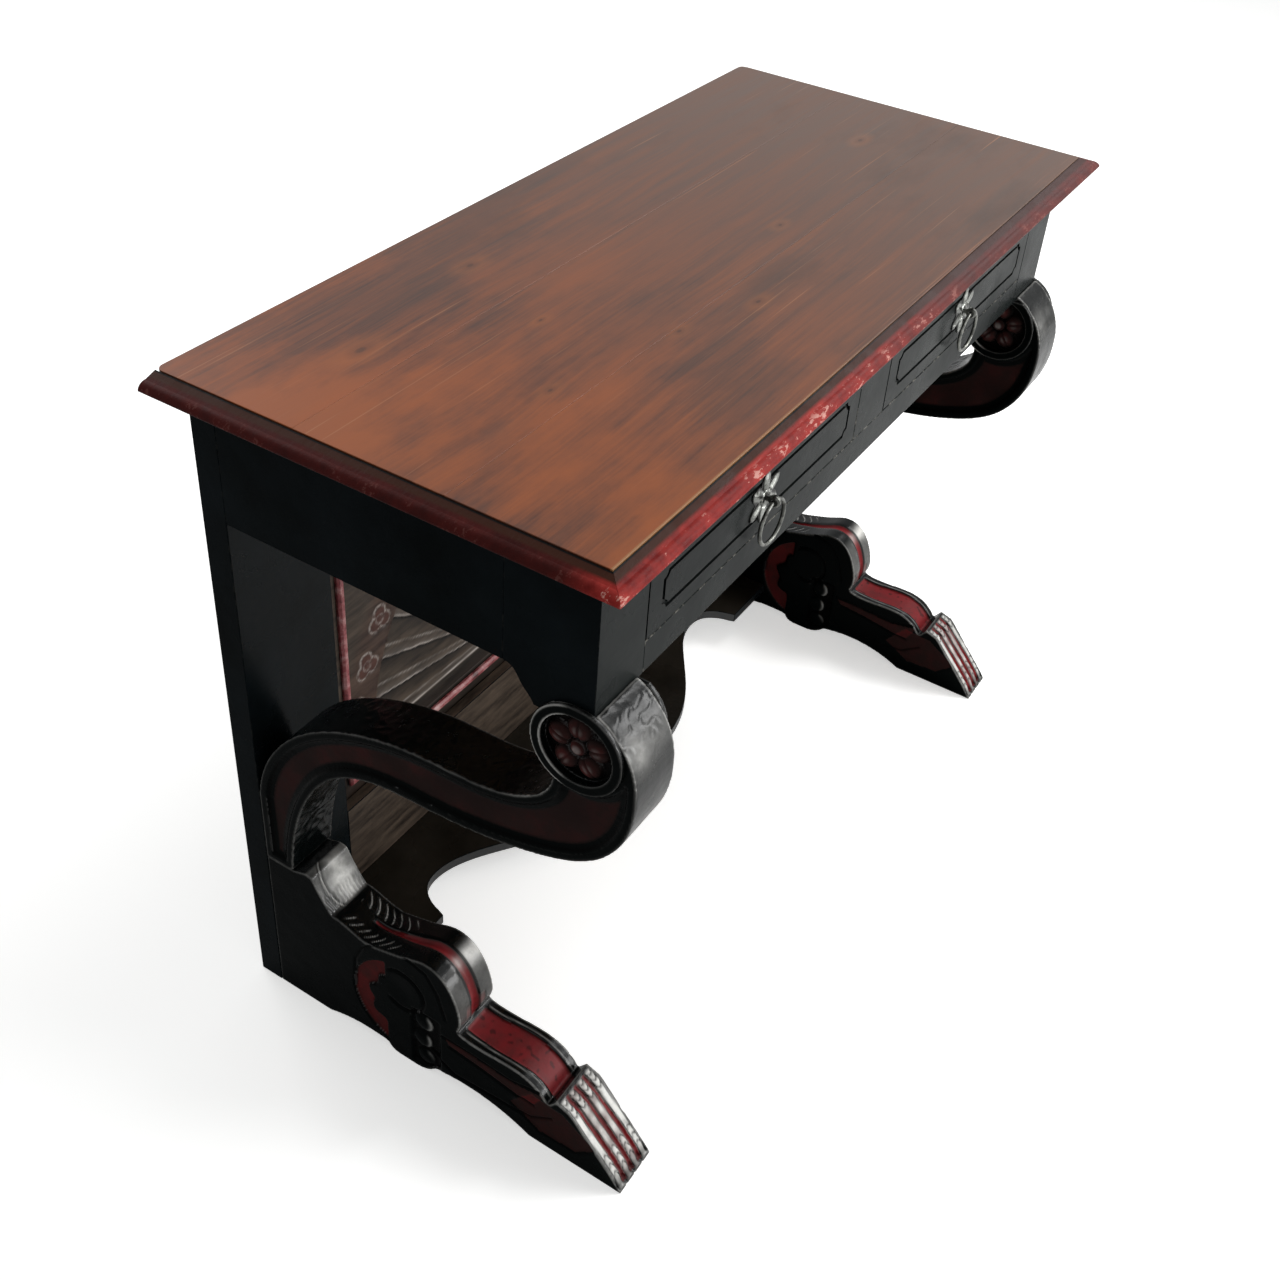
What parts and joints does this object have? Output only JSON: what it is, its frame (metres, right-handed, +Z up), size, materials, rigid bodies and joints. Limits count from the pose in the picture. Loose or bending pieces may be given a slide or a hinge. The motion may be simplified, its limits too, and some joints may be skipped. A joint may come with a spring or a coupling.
{
  "type": "altar table",
  "caption": "Altar table with a planked, moulded top, a shallow drawer case with ring pulls, scroll legs with rosettes, carved feet, a low platform and a framed sunburst back panel.",
  "frame": {"origin": "on the floor, under the middle of the overall box", "axes": "+Z up, +X along the length to the right as seen from the front, the drawers face -Y"},
  "size_m": [1.067, 0.521, 0.8],
  "materials": {
    "black_lacquer": "glossy black lacquer, worn at the edges",
    "varnished_planks": "varnished reddish-brown planks, satin",
    "red_paint": "red paint, chipped",
    "carved_ground": "carved ground, dark stain",
    "plain_wood": "plain unpainted wood",
    "pewter_metal": "dull grey metal, polished on the high spots"
  },
  "bodies": {
    "case": {"top_board_front": "varnished_planks", "top_board_middle": "varnished_planks", "top_board_back": "varnished_planks", "top_moulding_front": "red_paint", "top_moulding_left": "red_paint", "top_moulding_right": "red_paint", "side_rail_left": "black_lacquer", "side_rail_right": "black_lacquer", "front_post_left": "black_lacquer", "front_post_right": "black_lacquer", "back_post_left": "black_lacquer", "back_post_right": "black_lacquer", "scroll_leg_left": "black_lacquer", "scroll_leg_right": "black_lacquer", "foot_left": "black_lacquer", "foot_right": "black_lacquer", "rosette_outer_left": "black_lacquer", "rosette_outer_right": "black_lacquer", "rosette_inner_left": "black_lacquer", "rosette_inner_right": "black_lacquer", "front_top_rail": "black_lacquer", "front_bottom_rail": "black_lacquer", "drawer_muntin": "black_lacquer", "back_top_rail": "black_lacquer", "back_bottom_rail": "black_lacquer", "platform": "black_lacquer", "carved_panel": "carved_ground", "panel_moulding_top": "red_paint", "panel_moulding_bottom": "red_paint", "panel_moulding_left": "red_paint", "panel_moulding_right": "red_paint", "drawer_runner_left": "plain_wood", "drawer_kicker_left": "plain_wood", "drawer_runner_centre": "plain_wood", "drawer_kicker_centre": "plain_wood", "drawer_runner_right": "plain_wood", "drawer_kicker_right": "plain_wood"},
    "left_drawer": {"left_drawer_front": "black_lacquer", "left_drawer_side_left": "plain_wood", "left_drawer_side_right": "plain_wood", "left_drawer_back": "plain_wood", "left_drawer_bottom": "plain_wood", "left_pull_plate": "pewter_metal", "left_pull_eye": "pewter_metal"},
    "left_ring": {"left_pull_ring": "pewter_metal"},
    "right_drawer": {"right_drawer_front": "black_lacquer", "right_drawer_side_left": "plain_wood", "right_drawer_side_right": "plain_wood", "right_drawer_back": "plain_wood", "right_drawer_bottom": "plain_wood", "right_pull_plate": "pewter_metal", "right_pull_eye": "pewter_metal"},
    "right_ring": {"right_pull_ring": "pewter_metal"}
  },
  "joints": [
    {"name": "left_drawer_slide", "type": "slide", "parent": "case", "child": "left_drawer", "axis": [0, -1, 0], "range_m": [0, 0.26]},
    {"name": "left_ring_swing", "type": "hinge", "parent": "left_drawer", "child": "left_ring", "pos_m": [-0.231, -0.2035, 0.704], "axis": [-1, 0, 0], "range_deg": [-8, 100]},
    {"name": "right_drawer_slide", "type": "slide", "parent": "case", "child": "right_drawer", "axis": [0, -1, 0], "range_m": [0, 0.26]},
    {"name": "right_ring_swing", "type": "hinge", "parent": "right_drawer", "child": "right_ring", "pos_m": [0.231, -0.2035, 0.704], "axis": [-1, 0, 0], "range_deg": [-8, 100]}
  ]
}
